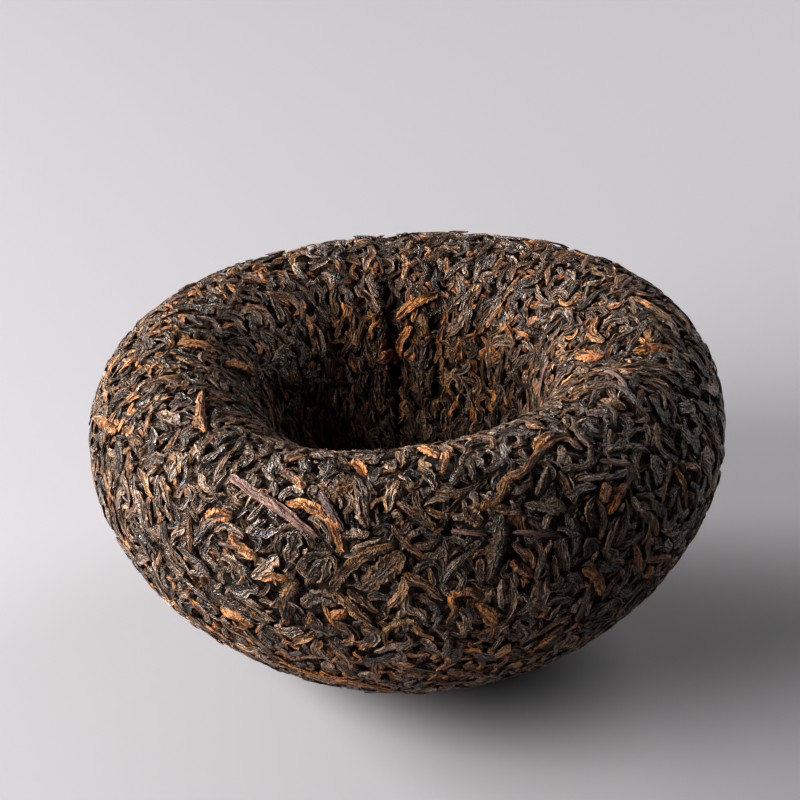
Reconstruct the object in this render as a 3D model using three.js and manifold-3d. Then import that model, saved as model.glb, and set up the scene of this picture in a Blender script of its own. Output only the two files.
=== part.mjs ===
// A bowl-shaped cake of pressed tea leaves: a domed underside, a thick rounded ring and a deep hollow.
// Millimetres, +Z up. The cake rests on a small flat spot of its dome, and the origin is under its middle.
// Angles are in degrees: azimuth 0 is +X and 90 is +Y, and a heading of 90 runs up the dome or into the hollow.
// A climb is a share of the way along the outline, from the dome's lowest point, over the ring, to the hollow's floor.

import * as THREE from 'three';
import { mergeVertices } from 'three/addons/utils/BufferGeometryUtils.js';
import loadManifold from 'manifold-3d';

const { degToRad, lerp } = THREE.MathUtils;

// Driving sizes of the pressed form
const beltRadius = 41;
const beltHeight = 30;
const crownRadius = 31;
const crownHeight = 43.5;
const mouthRadius = 17.5;
const mouthHeight = 30;
const hollowFloorRadius = 9;
const hollowFloorHeight = 14;
const hollowWallStraightness = 0.6;
const footDepth = 0.45;
const lean = 3;
const quarterRound = 0.5523;

// The cloth it was pressed in leaves the ring a little out of round
const waves = [
  { count: 2, size: 0.0072, azimuth: -10 },
  { count: 3, size: 0.019, azimuth: 36 },
];

// Soft swellings and dips of the ring, and the cloth's pleats pressed into it
const swells = [
  { azimuth: -58, climb: 0.655, spread: 22, reach: 0.05, height: 0.5 },
  { azimuth: -127, climb: 0.67, spread: 26, reach: 0.06, height: -1.6 },
  { azimuth: -29, climb: 0.615, spread: 10, reach: 0.05, height: 1.0 },
];
const pleats = [
  { azimuth: -9, climb: 0.635, spread: 8, reach: 0.08, height: -1.4 },
  { azimuth: 94.5, climb: 0.74, spread: 3.6, reach: 0.11, height: -2.2 },
  { azimuth: 119, climb: 0.72, spread: 4.5, reach: 0.08, height: -1.0 },
  { azimuth: 77, climb: 0.75, spread: 4, reach: 0.08, height: -1.1 },
  { azimuth: 106, climb: 0.7, spread: 3.5, reach: 0.07, height: -0.8 },
  { azimuth: 58, climb: 0.76, spread: 4.5, reach: 0.07, height: -0.7 },
  { azimuth: 30, climb: 0.74, spread: 6, reach: 0.07, height: -0.6 },
  { azimuth: 158, climb: 0.75, spread: 6, reach: 0.08, height: -0.8 },
  { azimuth: -150, climb: 0.74, spread: 6, reach: 0.07, height: -0.7 },
];

// Leaf-sized bumps all over, on a net that lies this deep under the form, so that their tops make the form
const netDepth = 0.7;
const surfaceDetail = 15;
const bump = { count: 900, length: [5, 8], width: [2.4, 3.2], height: [0.25, 1] };

// Pieces that stand out from the surface, each a leaf or stem pressed half into it
const leafStations = 5;
const leafRise = 0.6;
const leafEdge = -0.6;
const leafSink = -1.5;
const tipLean = 0.55;
const standingPieces = [
  { name: 'long stem', azimuth: -116, climb: 0.541, heading: -21, length: 14, width: 1.7, turn: 0 },
  { name: 'curled leaf', azimuth: -66, climb: 0.56, heading: 25, length: 17, width: 2.2, turn: -40 },
  { name: 'wide leaf', azimuth: -104, climb: 0.535, heading: -33, length: 10, width: 2.4, turn: -60 },
  { name: 'brown leaf', azimuth: -94, climb: 0.49, heading: 39, length: 8, width: 2.6, turn: -20 },
  { name: 'bent twig', azimuth: -98, climb: 0.495, heading: 41, length: 10.4, width: 1.8, turn: -50 },
  { name: 'steep leaf', azimuth: -74, climb: 0.5, heading: 59, length: 8, width: 2, turn: 0 },
  { name: 'hooked leaf', azimuth: -82, climb: 0.452, heading: 45, length: 7.5, width: 1.6, turn: -90 },
  { name: 'low leaf', azimuth: -92, climb: 0.42, heading: 190, length: 7, width: 1.8, turn: 80 },
  { name: 'upright sliver', azimuth: -32, climb: 0.478, heading: -90, length: 5.5, width: 1.5, turn: 0 },
  { name: 'forked leaf', azimuth: -38, climb: 0.41, heading: -24, length: 7.4, width: 1.6, turn: 20 },
  { name: 'crescent', azimuth: -57, climb: 0.437, heading: -60, length: 6.5, width: 1.8, turn: -60 },
  { name: 'ring strip', azimuth: 12, climb: 0.59, heading: 34, length: 7.7, width: 1.6, turn: 0 },
  { name: 'side flake', azimuth: -170, climb: 0.52, heading: 20, length: 8, width: 2.4, turn: 20 },
  { name: 'edge strip', azimuth: -108, climb: 0.318, heading: -25, length: 16, width: 2, turn: 0 },
];
const scattered = { count: 104, length: [8.5, 5.5], width: [2.5, 1.9], turn: 70 };

const outlineSteps = 400;
const goldenAngle = 137.508;
const looseShares = [0.01, 0.97];
const radialFrom = 0.6;
const radialSpread = 35;
const smallStep = 0.004;

// A steady run of shares from 0 to 1, the same each time
const seed = 20;
const mixFactor = 1664525;
const mixStep = 1013904223;
const mixRange = 2 ** 32;

function makeRandom() {
  let state = seed;
  return () => {
    state = (state * mixFactor + mixStep) % mixRange;
    return state / mixRange;
  };
}

function makeOutline() {
  const rounded = (from, to) => lerp(from, to, quarterRound);
  const outline = new THREE.Path();
  outline.moveTo(0, 0);
  outline.bezierCurveTo(
    rounded(0, beltRadius), 0, beltRadius, beltHeight - rounded(0, beltHeight), beltRadius, beltHeight);
  outline.bezierCurveTo(
    beltRadius, rounded(beltHeight, crownHeight), rounded(crownRadius, beltRadius), crownHeight,
    crownRadius, crownHeight);
  outline.bezierCurveTo(
    rounded(crownRadius, mouthRadius), crownHeight, mouthRadius, rounded(mouthHeight, crownHeight),
    mouthRadius, mouthHeight);
  outline.bezierCurveTo(
    mouthRadius, lerp(mouthHeight, hollowFloorHeight, hollowWallStraightness),
    hollowFloorRadius, hollowFloorHeight, 0, hollowFloorHeight);
  return outline;
}

const outline = makeOutline();
const outlineLength = outline.getLength();

// How far the ring stands out of its plain form, from the swells and pleats that reach this place
function unevenHeight(azimuth, climb) {
  let height = 0;
  for (const swell of [...swells, ...pleats]) {
    const turned = ((azimuth - swell.azimuth + 540) % 360) - 180;
    const across = turned / swell.spread;
    const along = (climb - swell.climb) / swell.reach;
    height += swell.height * Math.exp(-across * across - along * along);
  }
  return height;
}

function formPoint(azimuth, climb) {
  const angle = degToRad(azimuth);
  const place = outline.getPoint(climb);
  const slope = outline.getTangent(climb);
  const height = unevenHeight(azimuth, climb);
  let round = 1;
  for (const wave of waves) {
    round += wave.size * Math.cos(wave.count * degToRad(azimuth - wave.azimuth));
  }
  const radius = (place.x + slope.y * height) * round;
  const above = place.y - slope.x * height - beltHeight;
  const point = new THREE.Vector3(radius * Math.cos(angle), radius * Math.sin(angle), above);
  point.applyAxisAngle(new THREE.Vector3(0, -1, 0), degToRad(lean));
  point.z += beltHeight;
  return point;
}

// The surface's own directions at a place: round the cake, along the outline, and straight out
function formFrame(azimuth, climb) {
  const middle = THREE.MathUtils.clamp(climb, smallStep * 2, 1 - smallStep * 2);
  const round = formPoint(azimuth + 1, middle).sub(formPoint(azimuth - 1, middle)).normalize();
  const up = formPoint(azimuth, middle + smallStep).sub(formPoint(azimuth, middle - smallStep)).normalize();
  const out = new THREE.Vector3().crossVectors(round, up).normalize();
  return { point: formPoint(azimuth, climb), round, up, out };
}

// Table of the surface covered up to each climb, so that equal shares of it can be picked
function makeShares() {
  const places = outline.getSpacedPoints(outlineSteps);
  const covered = [0];
  for (let i = 1; i <= outlineSteps; i += 1) {
    covered.push(covered[i - 1] + (places[i].x + places[i - 1].x) / 2);
  }
  return covered.map((area) => area / covered[outlineSteps]);
}

const shares = makeShares();

function climbAtShare(share) {
  let i = 1;
  while (i < outlineSteps && shares[i] < share) i += 1;
  return (i - 1 + (share - shares[i - 1]) / (shares[i] - shares[i - 1])) / outlineSteps;
}

// The way from the plain form's frame to the part's: centred over the origin, standing on its foot
function findShift() {
  const box = new THREE.Box3();
  for (let azimuth = 0; azimuth < 360; azimuth += 3) {
    for (let climb = 0; climb <= 1; climb += smallStep) {
      box.expandByPoint(formPoint(azimuth, climb));
    }
  }
  const middle = box.getCenter(new THREE.Vector3());
  return new THREE.Vector3(-middle.x, -middle.y, -box.min.z - footDepth);
}

// Leaves lie any way on the dome, and mostly into the hollow on the ring's inner side
function pickHeading(climb, random) {
  return climb > radialFrom ? 90 + radialSpread * (2 * random() - 1) : 360 * random();
}

function spreadEvenly(count, random, make) {
  const pieces = [];
  for (let i = 0; i < count; i += 1) {
    const climb = climbAtShare(lerp(...looseShares, (i + random()) / count));
    pieces.push(make({ azimuth: (i * goldenAngle) % 360, climb, heading: pickHeading(climb, random) }));
  }
  return pieces;
}

function makeBumps(random) {
  const between = ([low, high]) => lerp(low, high, random());
  return spreadEvenly(bump.count, random, ({ azimuth, climb, heading }) => {
    const { point, round, up } = formFrame(azimuth, climb);
    const angle = degToRad(heading);
    const along = round.clone().multiplyScalar(Math.cos(angle)).addScaledVector(up, Math.sin(angle));
    const across = up.clone().multiplyScalar(Math.cos(angle)).addScaledVector(round, -Math.sin(angle));
    const length = between(bump.length);
    const width = between(bump.width);
    const height = between(bump.height);
    return { point, along, across, length, width, height };
  });
}

function bumpHeight(bumps, point) {
  const away = new THREE.Vector3();
  let highest = 0;
  for (const leaf of bumps) {
    away.subVectors(point, leaf.point);
    if (away.lengthSq() > leaf.length * leaf.length / 4) continue;
    const end = away.dot(leaf.along) * 2 / leaf.length;
    const side = away.dot(leaf.across) * 2 / leaf.width;
    const inside = Math.max(0, 1 - end * end) * Math.max(0, 1 - side * side);
    highest = Math.max(highest, leaf.height * Math.sqrt(inside));
  }
  return highest;
}

// An even net of triangles, carried from a ball to the cake share by share
function makeCore(random) {
  const ball = new THREE.IcosahedronGeometry(1, surfaceDetail);
  ball.deleteAttribute('normal');
  ball.deleteAttribute('uv');
  const geometry = mergeVertices(ball);
  const places = geometry.getAttribute('position');
  const bumps = makeBumps(random);
  for (let i = 0; i < places.count; i += 1) {
    const azimuth = THREE.MathUtils.radToDeg(Math.atan2(places.getY(i), places.getX(i)));
    const share = (1 + places.getZ(i)) / 2;
    const { point, out } = formFrame(azimuth, climbAtShare(share));
    point.addScaledVector(out, bumpHeight(bumps, point) - netDepth);
    places.setXYZ(i, point.x, point.y, point.z);
  }
  return geometry;
}

// A leaf with pointed ends and four sides, which follows the surface along a bent route
function makeLeaf({ azimuth, climb, heading, length, width, turn }) {
  const positions = [];
  const addPoint = (frame, side, sideways, lift) => {
    const point = frame.point.clone().addScaledVector(side, sideways).addScaledVector(frame.out, lift);
    positions.push(point.x, point.y, point.z);
  };
  const last = leafStations - 1;
  for (let i = 0; i <= last; i += 1) {
    const way = i / last - 0.5;
    const chord = degToRad(heading + turn * way / 2);
    const angle = degToRad(heading + turn * way);
    const radius = outline.getPoint(climb).x;
    const ahead = way * length;
    const frame = formFrame(
      azimuth + THREE.MathUtils.radToDeg(ahead * Math.cos(chord) / radius),
      climb + ahead * Math.sin(chord) / outlineLength);
    const side = frame.up.clone().multiplyScalar(Math.cos(angle)).addScaledVector(frame.round, -Math.sin(angle));
    if (i === 0 || i === last) {
      addPoint(frame, side, 0, leafEdge);
    } else {
      const half = width / 2 * Math.sqrt(1 - tipLean * (2 * way) ** 2);
      addPoint(frame, side, half, leafEdge);
      addPoint(frame, side, 0, leafRise);
      addPoint(frame, side, -half, leafEdge);
      addPoint(frame, side, 0, leafSink);
    }
  }
  return leafGeometry(positions);
}

function leafGeometry(positions) {
  const index = [];
  const rings = leafStations - 2;
  const end = rings * 4 + 1;
  for (let corner = 0; corner < 4; corner += 1) {
    const next = (corner + 1) % 4;
    index.push(0, 1 + next, 1 + corner);
    for (let ring = 0; ring < rings - 1; ring += 1) {
      const here = 1 + ring * 4;
      const ahead = here + 4;
      index.push(here + corner, here + next, ahead + next);
      index.push(here + corner, ahead + next, ahead + corner);
    }
    index.push(end, end - 4 + corner, end - 4 + next);
  }
  const geometry = new THREE.BufferGeometry();
  geometry.setAttribute('position', new THREE.Float32BufferAttribute(positions, 3));
  geometry.setIndex(index);
  return geometry;
}

function makeLeaves(random) {
  const loose = spreadEvenly(scattered.count, random, (place) => {
    const size = random();
    return {
      ...place,
      length: lerp(...scattered.length, size),
      width: lerp(...scattered.width, size),
      turn: scattered.turn * (2 * random() - 1),
    };
  });
  return [...standingPieces, ...loose].map(makeLeaf);
}

function toSolid(wasm, geometry) {
  return new wasm.Manifold(new wasm.Mesh({
    numProp: 3,
    vertProperties: new Float32Array(geometry.getAttribute('position').array),
    triVerts: new Uint32Array(geometry.getIndex().array),
  }));
}

function fromSolid(solid) {
  const { vertProperties, triVerts } = solid.getMesh();
  const geometry = new THREE.BufferGeometry();
  geometry.setAttribute('position', new THREE.Float32BufferAttribute(vertProperties, 3));
  geometry.setIndex([...triVerts]);
  geometry.computeVertexNormals();
  return geometry;
}

// Everything that would reach below the surface it stands on
function makeGround() {
  const ground = new THREE.BoxGeometry(beltRadius * 4, beltRadius * 4, crownHeight);
  ground.translate(0, 0, -crownHeight / 2);
  ground.deleteAttribute('normal');
  ground.deleteAttribute('uv');
  return mergeVertices(ground);
}

async function makeTeaCake() {
  const wasm = await loadManifold();
  wasm.setup();
  const random = makeRandom();
  const shift = findShift();
  let cake = toSolid(wasm, makeCore(random));
  for (const leaf of makeLeaves(random)) {
    cake = cake.add(toSolid(wasm, leaf));
  }
  cake = cake.translate(shift.toArray());
  cake = cake.subtract(toSolid(wasm, makeGround()));
  const pressedLeaves = new THREE.MeshStandardMaterial({ color: '#3d3028', roughness: 0.78, metalness: 0 });
  const mesh = new THREE.Mesh(fromSolid(cake), pressedLeaves);
  mesh.name = 'tea_cake';
  return mesh;
}

const object = new THREE.Group();
object.add(await makeTeaCake());

export default object;
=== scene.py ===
from functools import partial
from math import ceil, cos, radians, sin, sqrt, tau

import bmesh
import bpy
import numpy as np
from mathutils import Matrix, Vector
from mathutils.bvhtree import BVHTree


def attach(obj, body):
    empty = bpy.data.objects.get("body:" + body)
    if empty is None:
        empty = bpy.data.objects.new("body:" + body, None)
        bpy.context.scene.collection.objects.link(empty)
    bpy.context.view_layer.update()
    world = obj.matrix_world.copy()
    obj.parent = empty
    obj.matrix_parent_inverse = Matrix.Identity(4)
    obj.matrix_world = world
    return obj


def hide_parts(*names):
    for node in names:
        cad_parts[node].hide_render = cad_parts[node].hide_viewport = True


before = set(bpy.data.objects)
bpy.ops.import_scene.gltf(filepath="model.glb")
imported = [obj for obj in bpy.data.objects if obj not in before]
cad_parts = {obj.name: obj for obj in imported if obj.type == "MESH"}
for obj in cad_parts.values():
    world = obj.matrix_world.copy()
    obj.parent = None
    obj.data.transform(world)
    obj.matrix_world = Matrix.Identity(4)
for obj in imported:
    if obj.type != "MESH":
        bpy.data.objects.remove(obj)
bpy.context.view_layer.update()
mm = 0.001

cake = {
    "beltRadius": 41.0,  # widest
    "beltHeight": 30.0,
    "crownRadius": 31.0,  # where the ring is highest
    "crownHeight": 43.5,
    "mouthRadius": 17.5,
    "mouthHeight": 30.0,
    "floorRadius": 9.0,
    "floorHeight": 14.0,
    "wallStraightness": 0.6,
    "footDepth": 0.45,  # pressed flat under the dome
    "lean": 3.0,
    "quarterRound": 0.5523,
    "coreDepth": 1.1,  # the core lies this far under the form
}

waves = [
    {"count": 2, "size": 0.0072, "azimuth": -10},
    {"count": 3, "size": 0.019, "azimuth": 36},
]

swells = [
    {"azimuth": -58, "climb": 0.655, "spread": 22, "reach": 0.05, "height": 0.5},
    {"azimuth": -127, "climb": 0.67, "spread": 26, "reach": 0.06, "height": -1.6},
    {"azimuth": -29, "climb": 0.615, "spread": 10, "reach": 0.05, "height": 1.0},
]
pleats = [
    {"azimuth": -9, "climb": 0.635, "spread": 8, "reach": 0.08, "height": -1.4},
    {"azimuth": 94.5, "climb": 0.74, "spread": 3.6, "reach": 0.11, "height": -2.2},
    {"azimuth": 119, "climb": 0.72, "spread": 4.5, "reach": 0.08, "height": -1.0},
    {"azimuth": 77, "climb": 0.75, "spread": 4, "reach": 0.08, "height": -1.1},
    {"azimuth": 106, "climb": 0.7, "spread": 3.5, "reach": 0.07, "height": -0.8},
    {"azimuth": 58, "climb": 0.76, "spread": 4.5, "reach": 0.07, "height": -0.7},
    {"azimuth": 30, "climb": 0.74, "spread": 6, "reach": 0.07, "height": -0.6},
    {"azimuth": 158, "climb": 0.75, "spread": 6, "reach": 0.08, "height": -0.8},
    {"azimuth": -150, "climb": 0.74, "spread": 6, "reach": 0.07, "height": -0.7},
]


def bezier(a, b, c, d, t):
    t = t[:, None]
    a, b, c, d = (np.array(p, float) for p in (a, b, c, d))
    return (1 - t) ** 3 * a + 3 * (1 - t) ** 2 * t * b + 3 * (1 - t) * t * t * c + t**3 * d


def makeOutline(steps=4001):
    c = cake
    rounded = lambda low, high: low + (high - low) * c["quarterRound"]
    belt, crown = (c["beltRadius"], c["beltHeight"]), (c["crownRadius"], c["crownHeight"])
    mouth, floor = (c["mouthRadius"], c["mouthHeight"]), (0, c["floorHeight"])
    wall = mouth[1] + (floor[1] - mouth[1]) * c["wallStraightness"]
    curves = [
        ((0, 0), (rounded(0, belt[0]), 0), (belt[0], belt[1] - rounded(0, belt[1])), belt),
        (belt, (belt[0], rounded(belt[1], crown[1])), (rounded(crown[0], belt[0]), crown[1]), crown),
        (crown, (rounded(crown[0], mouth[0]), crown[1]), (mouth[0], rounded(mouth[1], crown[1])), mouth),
        (mouth, (mouth[0], wall), (c["floorRadius"], floor[1]), floor),
    ]
    t = np.linspace(0, 1, steps)
    points = np.vstack([bezier(*curve, t) for curve in curves])
    way = np.r_[0, np.cumsum(np.hypot(*np.diff(points, axis=0).T))]
    even = np.linspace(0, way[-1], steps)
    radius, height = np.interp(even, way, points[:, 0]), np.interp(even, way, points[:, 1])
    slope = np.stack([np.gradient(radius), np.gradient(height)])
    slope /= np.hypot(*slope)
    covered = np.r_[0, np.cumsum((radius[1:] + radius[:-1]) / 2)]
    return {
        "climb": np.linspace(0, 1, steps), "radius": radius, "height": height,
        "slopeR": slope[0], "slopeZ": slope[1], "length": way[-1], "share": covered / covered[-1],
    }


outline = makeOutline()


def alongOutline(climb, what):
    return np.interp(climb, outline["climb"], outline[what])


def climbAtShare(share):
    return np.interp(share, outline["share"], outline["climb"])


def nearPlace(place, azimuth, climb):
    across = ((azimuth - place["azimuth"] + 180) % 360 - 180) / place["spread"]
    along = (climb - place["climb"]) / place["reach"]
    return np.exp(-across * across - along * along)


def unevenHeight(azimuth, climb):
    return sum(place["height"] * nearPlace(place, azimuth, climb) for place in swells + pleats)


leanCos, leanSin = cos(radians(cake["lean"])), sin(radians(cake["lean"]))


def plainPoint(azimuth, climb):
    angle = np.radians(azimuth)
    height = unevenHeight(azimuth, climb)
    rounds = 1 + sum(w["size"] * np.cos(w["count"] * np.radians(azimuth - w["azimuth"])) for w in waves)
    radius = (alongOutline(climb, "radius") + alongOutline(climb, "slopeZ") * height) * rounds
    x, y = radius * np.cos(angle), radius * np.sin(angle)
    z = alongOutline(climb, "height") - alongOutline(climb, "slopeR") * height - cake["beltHeight"]
    return np.stack([x * leanCos - z * leanSin, y, x * leanSin + z * leanCos + cake["beltHeight"]], -1)


boxSteps = {"azimuth": 3.0, "climb": 0.004}


def findShift():
    climbs = np.arange(0, 1 + boxSteps["climb"] / 2, boxSteps["climb"])
    azimuth, climb = np.meshgrid(np.arange(0, 360, boxSteps["azimuth"]), climbs)
    points = plainPoint(azimuth, climb).reshape(-1, 3)
    low, high = points.min(0), points.max(0)
    return np.array([-(low[0] + high[0]) / 2, -(low[1] + high[1]) / 2, -low[2] - cake["footDepth"]])


shift = findShift()


def formPoint(azimuth, climb):
    return plainPoint(azimuth, climb) + shift


def unit(v):
    return v / np.maximum(np.linalg.norm(v, axis=-1, keepdims=True), 1e-9)


# The form's slope is measured between points this far aside, and never nearer a pole than this
beside = {"turn": 0.5, "climb": 0.002, "fromPole": 0.008}


def formFrame(azimuth, climb):
    middle = np.clip(climb, beside["fromPole"], 1 - beside["fromPole"])
    turn = formPoint(azimuth + beside["turn"], middle) - formPoint(azimuth - beside["turn"], middle)
    rise = formPoint(azimuth, middle + beside["climb"]) - formPoint(azimuth, middle - beside["climb"])
    return formPoint(azimuth, climb), unit(np.cross(turn, rise))


poleReach = 18.0  # this near a pole, a path is laid out as on a disc
leastRadius = 0.5  # the belt's way of walking isn't used inside this


def walkOnForm(azimuth, climb, x, y):
    length = outline["length"]
    radius = np.maximum(alongOutline(climb, "radius"), leastRadius)
    beltAzimuth, beltClimb = azimuth + np.degrees(x / radius), climb + y / length
    fromFoot = climb < 0.5
    away = np.where(fromFoot, climb, 1 - climb) * length
    outward = np.where(fromFoot, y, -y)
    poleAzimuth = azimuth + np.degrees(np.arctan2(x, away + outward))
    poleAway = np.hypot(away + outward, x) / length
    poleClimb = np.where(fromFoot, poleAway, 1 - poleAway)
    nearPole = away < poleReach
    walked = np.where(nearPole, poleClimb, beltClimb)
    return np.where(nearPole, poleAzimuth, beltAzimuth), np.clip(walked, 0, 1)


def placeOnForm(points):
    p = points - shift
    z = p[..., 2] - cake["beltHeight"]
    x, z = p[..., 0] * leanCos + z * leanSin, -p[..., 0] * leanSin + z * leanCos + cake["beltHeight"]
    radius = np.hypot(x, p[..., 1])
    far = (radius[..., None] - outline["radius"]) ** 2 + (z[..., None] - outline["height"]) ** 2
    return np.degrees(np.arctan2(p[..., 1], x)), outline["climb"][far.argmin(-1)]


view = {
    "elevation": 28.5,
    "distance": 0.45,
    "scale": 0.1306 * mm,  # one pixel at the target
    "target": ((shift[0] - 1.1) * mm, shift[1] * mm, 34.55 * mm),
    "frameSide": 800,
    "sensor": 36.0,
    "clip": (0.01, 20),
}


def addObject(name, data):
    made = bpy.data.objects.new(name, data)
    bpy.context.scene.collection.objects.link(made)
    return made


def makeCamera():
    data = bpy.data.cameras.new("camera")
    camera = addObject("camera", data)
    target = Vector(view["target"])
    angle = radians(view["elevation"])
    back = Vector((0, -cos(angle), sin(angle)))
    camera.location = target + back * view["distance"]
    camera.rotation_euler = back.to_track_quat("Z", "Y").to_euler()
    data.sensor_width = view["sensor"]
    data.lens = view["sensor"] * view["distance"] / (view["frameSide"] * view["scale"])
    data.clip_start, data.clip_end = view["clip"]
    bpy.context.scene.camera = camera
    print("camera placed")
    return camera


camera = makeCamera()


def rayThrough(x, y):
    half = view["frameSide"] / 2
    reach = view["distance"] / view["scale"]
    turn = camera.rotation_euler.to_matrix()
    direction = turn @ Vector((x - half, half - y, -reach))
    return camera.location.copy(), direction.normalized()


def feed(tree, value, socket):
    if isinstance(value, bpy.types.NodeSocket):
        tree.links.new(value, socket)
    else:
        socket.default_value = value


def addNode(tree, kind, inputs, **settings):
    node = tree.nodes.new(kind)
    for key, value in settings.items():
        setattr(node, key, value)
    for key, value in inputs.items():
        feed(tree, value, node.inputs[key])
    return node


def makeMaterial(name, finish):
    material = bpy.data.materials.new(name)
    material.use_nodes = True
    tree = material.node_tree
    for label, value in finish(tree).items():
        feed(tree, value, tree.nodes["Principled BSDF"].inputs[label])
    return material


studio = {
    "floorColour": (0.37, 0.358, 0.37),
    "floorRoughness": 0.9,
    "floorRadius": 5.0,
    "worldColour": (0.86, 0.85, 0.88),
    "worldStrength": 0.012,
    "exposure": 0.25,
    "gamma": 0.82,
    "aim": (0, 0, 0.02),
    "lights": {
        "keyLight": {"place": (-0.382, -0.212, 0.24), "size": 0.34, "power": 4.2},
        "backLight": {"place": (-0.896, 0.362, 0.26), "size": 0.5, "power": 23.0},
        "fillLight": {"place": (0.293, 0.293, 0.28), "size": 0.34, "power": 1.25},
    },
}


def paperFinish(tree):
    return {"Base Color": (*studio["floorColour"], 1), "Roughness": studio["floorRoughness"]}


def areaLight(name, place, size, power):
    data = bpy.data.lights.new(name, "AREA")
    data.shape = "DISK"
    data.size = size
    data.energy = power
    light = addObject(name, data)
    light.location = place
    light.rotation_euler = (Vector(place) - Vector(studio["aim"])).to_track_quat("Z", "Y").to_euler()


def makeStudio():
    bm = bmesh.new()
    bmesh.ops.create_circle(bm, cap_ends=True, segments=64, radius=studio["floorRadius"])
    mesh = bpy.data.meshes.new("floor")
    bm.to_mesh(mesh)
    bm.free()
    floor = addObject("floor", mesh)
    mesh.materials.append(makeMaterial("floorPaper", paperFinish))
    for name, light in studio["lights"].items():
        areaLight(name, light["place"], light["size"], light["power"])
    world = bpy.data.worlds.new("studioAir")
    world.use_nodes = True
    air = world.node_tree.nodes["Background"].inputs
    air["Color"].default_value = (*studio["worldColour"], 1)
    air["Strength"].default_value = studio["worldStrength"]
    bpy.context.scene.world = world
    shown = bpy.context.scene.view_settings
    shown.view_transform, shown.exposure, shown.gamma = "Standard", studio["exposure"], studio["gamma"]
    print("studio lit")


makeStudio()


def makeGroup(name, inputs, outputs):
    group = bpy.data.node_groups.new(name, "ShaderNodeTree")
    for label, value in inputs.items():
        kind = "NodeSocketVector" if value is None else "NodeSocketFloat"
        socket = group.interface.new_socket(name=label, in_out="INPUT", socket_type=kind)
        if value is not None:
            socket.default_value = value
    for label in outputs:
        group.interface.new_socket(name=label, in_out="OUTPUT", socket_type="NodeSocketFloat")
    return group, group.nodes.new("NodeGroupInput").outputs, group.nodes.new("NodeGroupOutput").inputs


def calculate(tree, operation, *values, clamp=False):
    given = dict(enumerate(values))
    return addNode(tree, "ShaderNodeMath", given, operation=operation, use_clamp=clamp).outputs[0]


def noise(tree, vector, scale, detail, distortion=0.0):
    given = {"Vector": vector, "Scale": scale, "Detail": detail, "Distortion": distortion}
    return addNode(tree, "ShaderNodeTexNoise", given).outputs["Fac"]


def fold(tree, value, sharpness):
    away = calculate(tree, "ABSOLUTE", calculate(tree, "SUBTRACT", value, 0.5))
    return calculate(tree, "SUBTRACT", 1, calculate(tree, "MULTIPLY", away, sharpness), clamp=True)


def widen(tree, value, start, gain):
    return calculate(tree, "MULTIPLY", calculate(tree, "SUBTRACT", value, start), gain, clamp=True)


def squeeze(tree, vector, lengthwise):
    amount = addNode(tree, "ShaderNodeCombineXYZ", {0: 1, 1: lengthwise}).outputs[0]
    return addNode(tree, "ShaderNodeVectorMath", {0: vector, 1: amount}, operation="MULTIPLY").outputs[0]


patternScales = {
    "Ridge Scale": 2.1, "Streak Scale": 4.2, "Wrinkle Scale": 1.6, "Patch Scale": 0.5, "Grain Scale": 5.5,
    "Stretch": 0.12,
}
pattern = {
    "ridgeSharpness": 5, "creaseSharpness": 9, "creaseStretch": 0.4,
    "streaks": (0.34, 3.1), "patches": (0.35, 3.3),  # where each begins, and how fast it is full
    "grain": (3.0, -1.0),
    "relief": {"Ridges": 0.8, "Streaks": 0.4, "Creases": -0.5, "Grain": 0.25},  # parts in the bump's height
}


def makeLeafPattern():
    outputs = ("Ridges", "Streaks", "Creases", "Patches", "Grain", "Height")
    group, given, result = makeGroup("leafPattern", {"Vector": None, **patternScales}, outputs)
    place = given["Vector"]
    lengthwise = squeeze(group, place, given["Stretch"])
    creaseShadeAmount = squeeze(group, place, pattern["creaseStretch"])
    ridges = noise(group, lengthwise, given["Ridge Scale"], 1, 0.3)
    streaks = noise(group, lengthwise, given["Streak Scale"], 3, 0.2)
    creases = noise(group, creaseShadeAmount, given["Wrinkle Scale"], 2, 0.5)
    patches = noise(group, place, given["Patch Scale"], 2)
    grain = noise(group, place, given["Grain Scale"], 2)
    made = {
        "Ridges": fold(group, ridges, pattern["ridgeSharpness"]),
        "Streaks": widen(group, streaks, *pattern["streaks"]),
        "Creases": fold(group, creases, pattern["creaseSharpness"]),
        "Patches": widen(group, patches, *pattern["patches"]),
        "Grain": calculate(group, "MULTIPLY_ADD", grain, *pattern["grain"], clamp=True),
    }
    height = 0.0
    for label, part in pattern["relief"].items():
        height = calculate(group, "MULTIPLY_ADD", made[label], part, height)
    for label, value in {**made, "Height": height}.items():
        feed(group, value, result[label])
    return group


leafPattern = makeLeafPattern()


def mixColours(tree, low, high, factor):
    low, high = ((*value, 1) if isinstance(value, tuple) else value for value in (low, high))
    return addNode(tree, "ShaderNodeMix", {0: factor, 6: low, 7: high}, data_type="RGBA").outputs[2]


def attribute(tree, name):
    return addNode(tree, "ShaderNodeAttribute", {}, attribute_name=name).outputs["Fac"]


# Powers that narrow the edges and ridge tops lightened by wear and painted sheen and the valleys darkened by
# painted shade, and how much of the lightening the streaks and grain leave
wearAndSheen = {"edge": 5, "ridge": 3.0, "valleyShadePower": 3, "streaks": (0.8, 0.2), "grain": (2.0, 0.4)}


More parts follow.
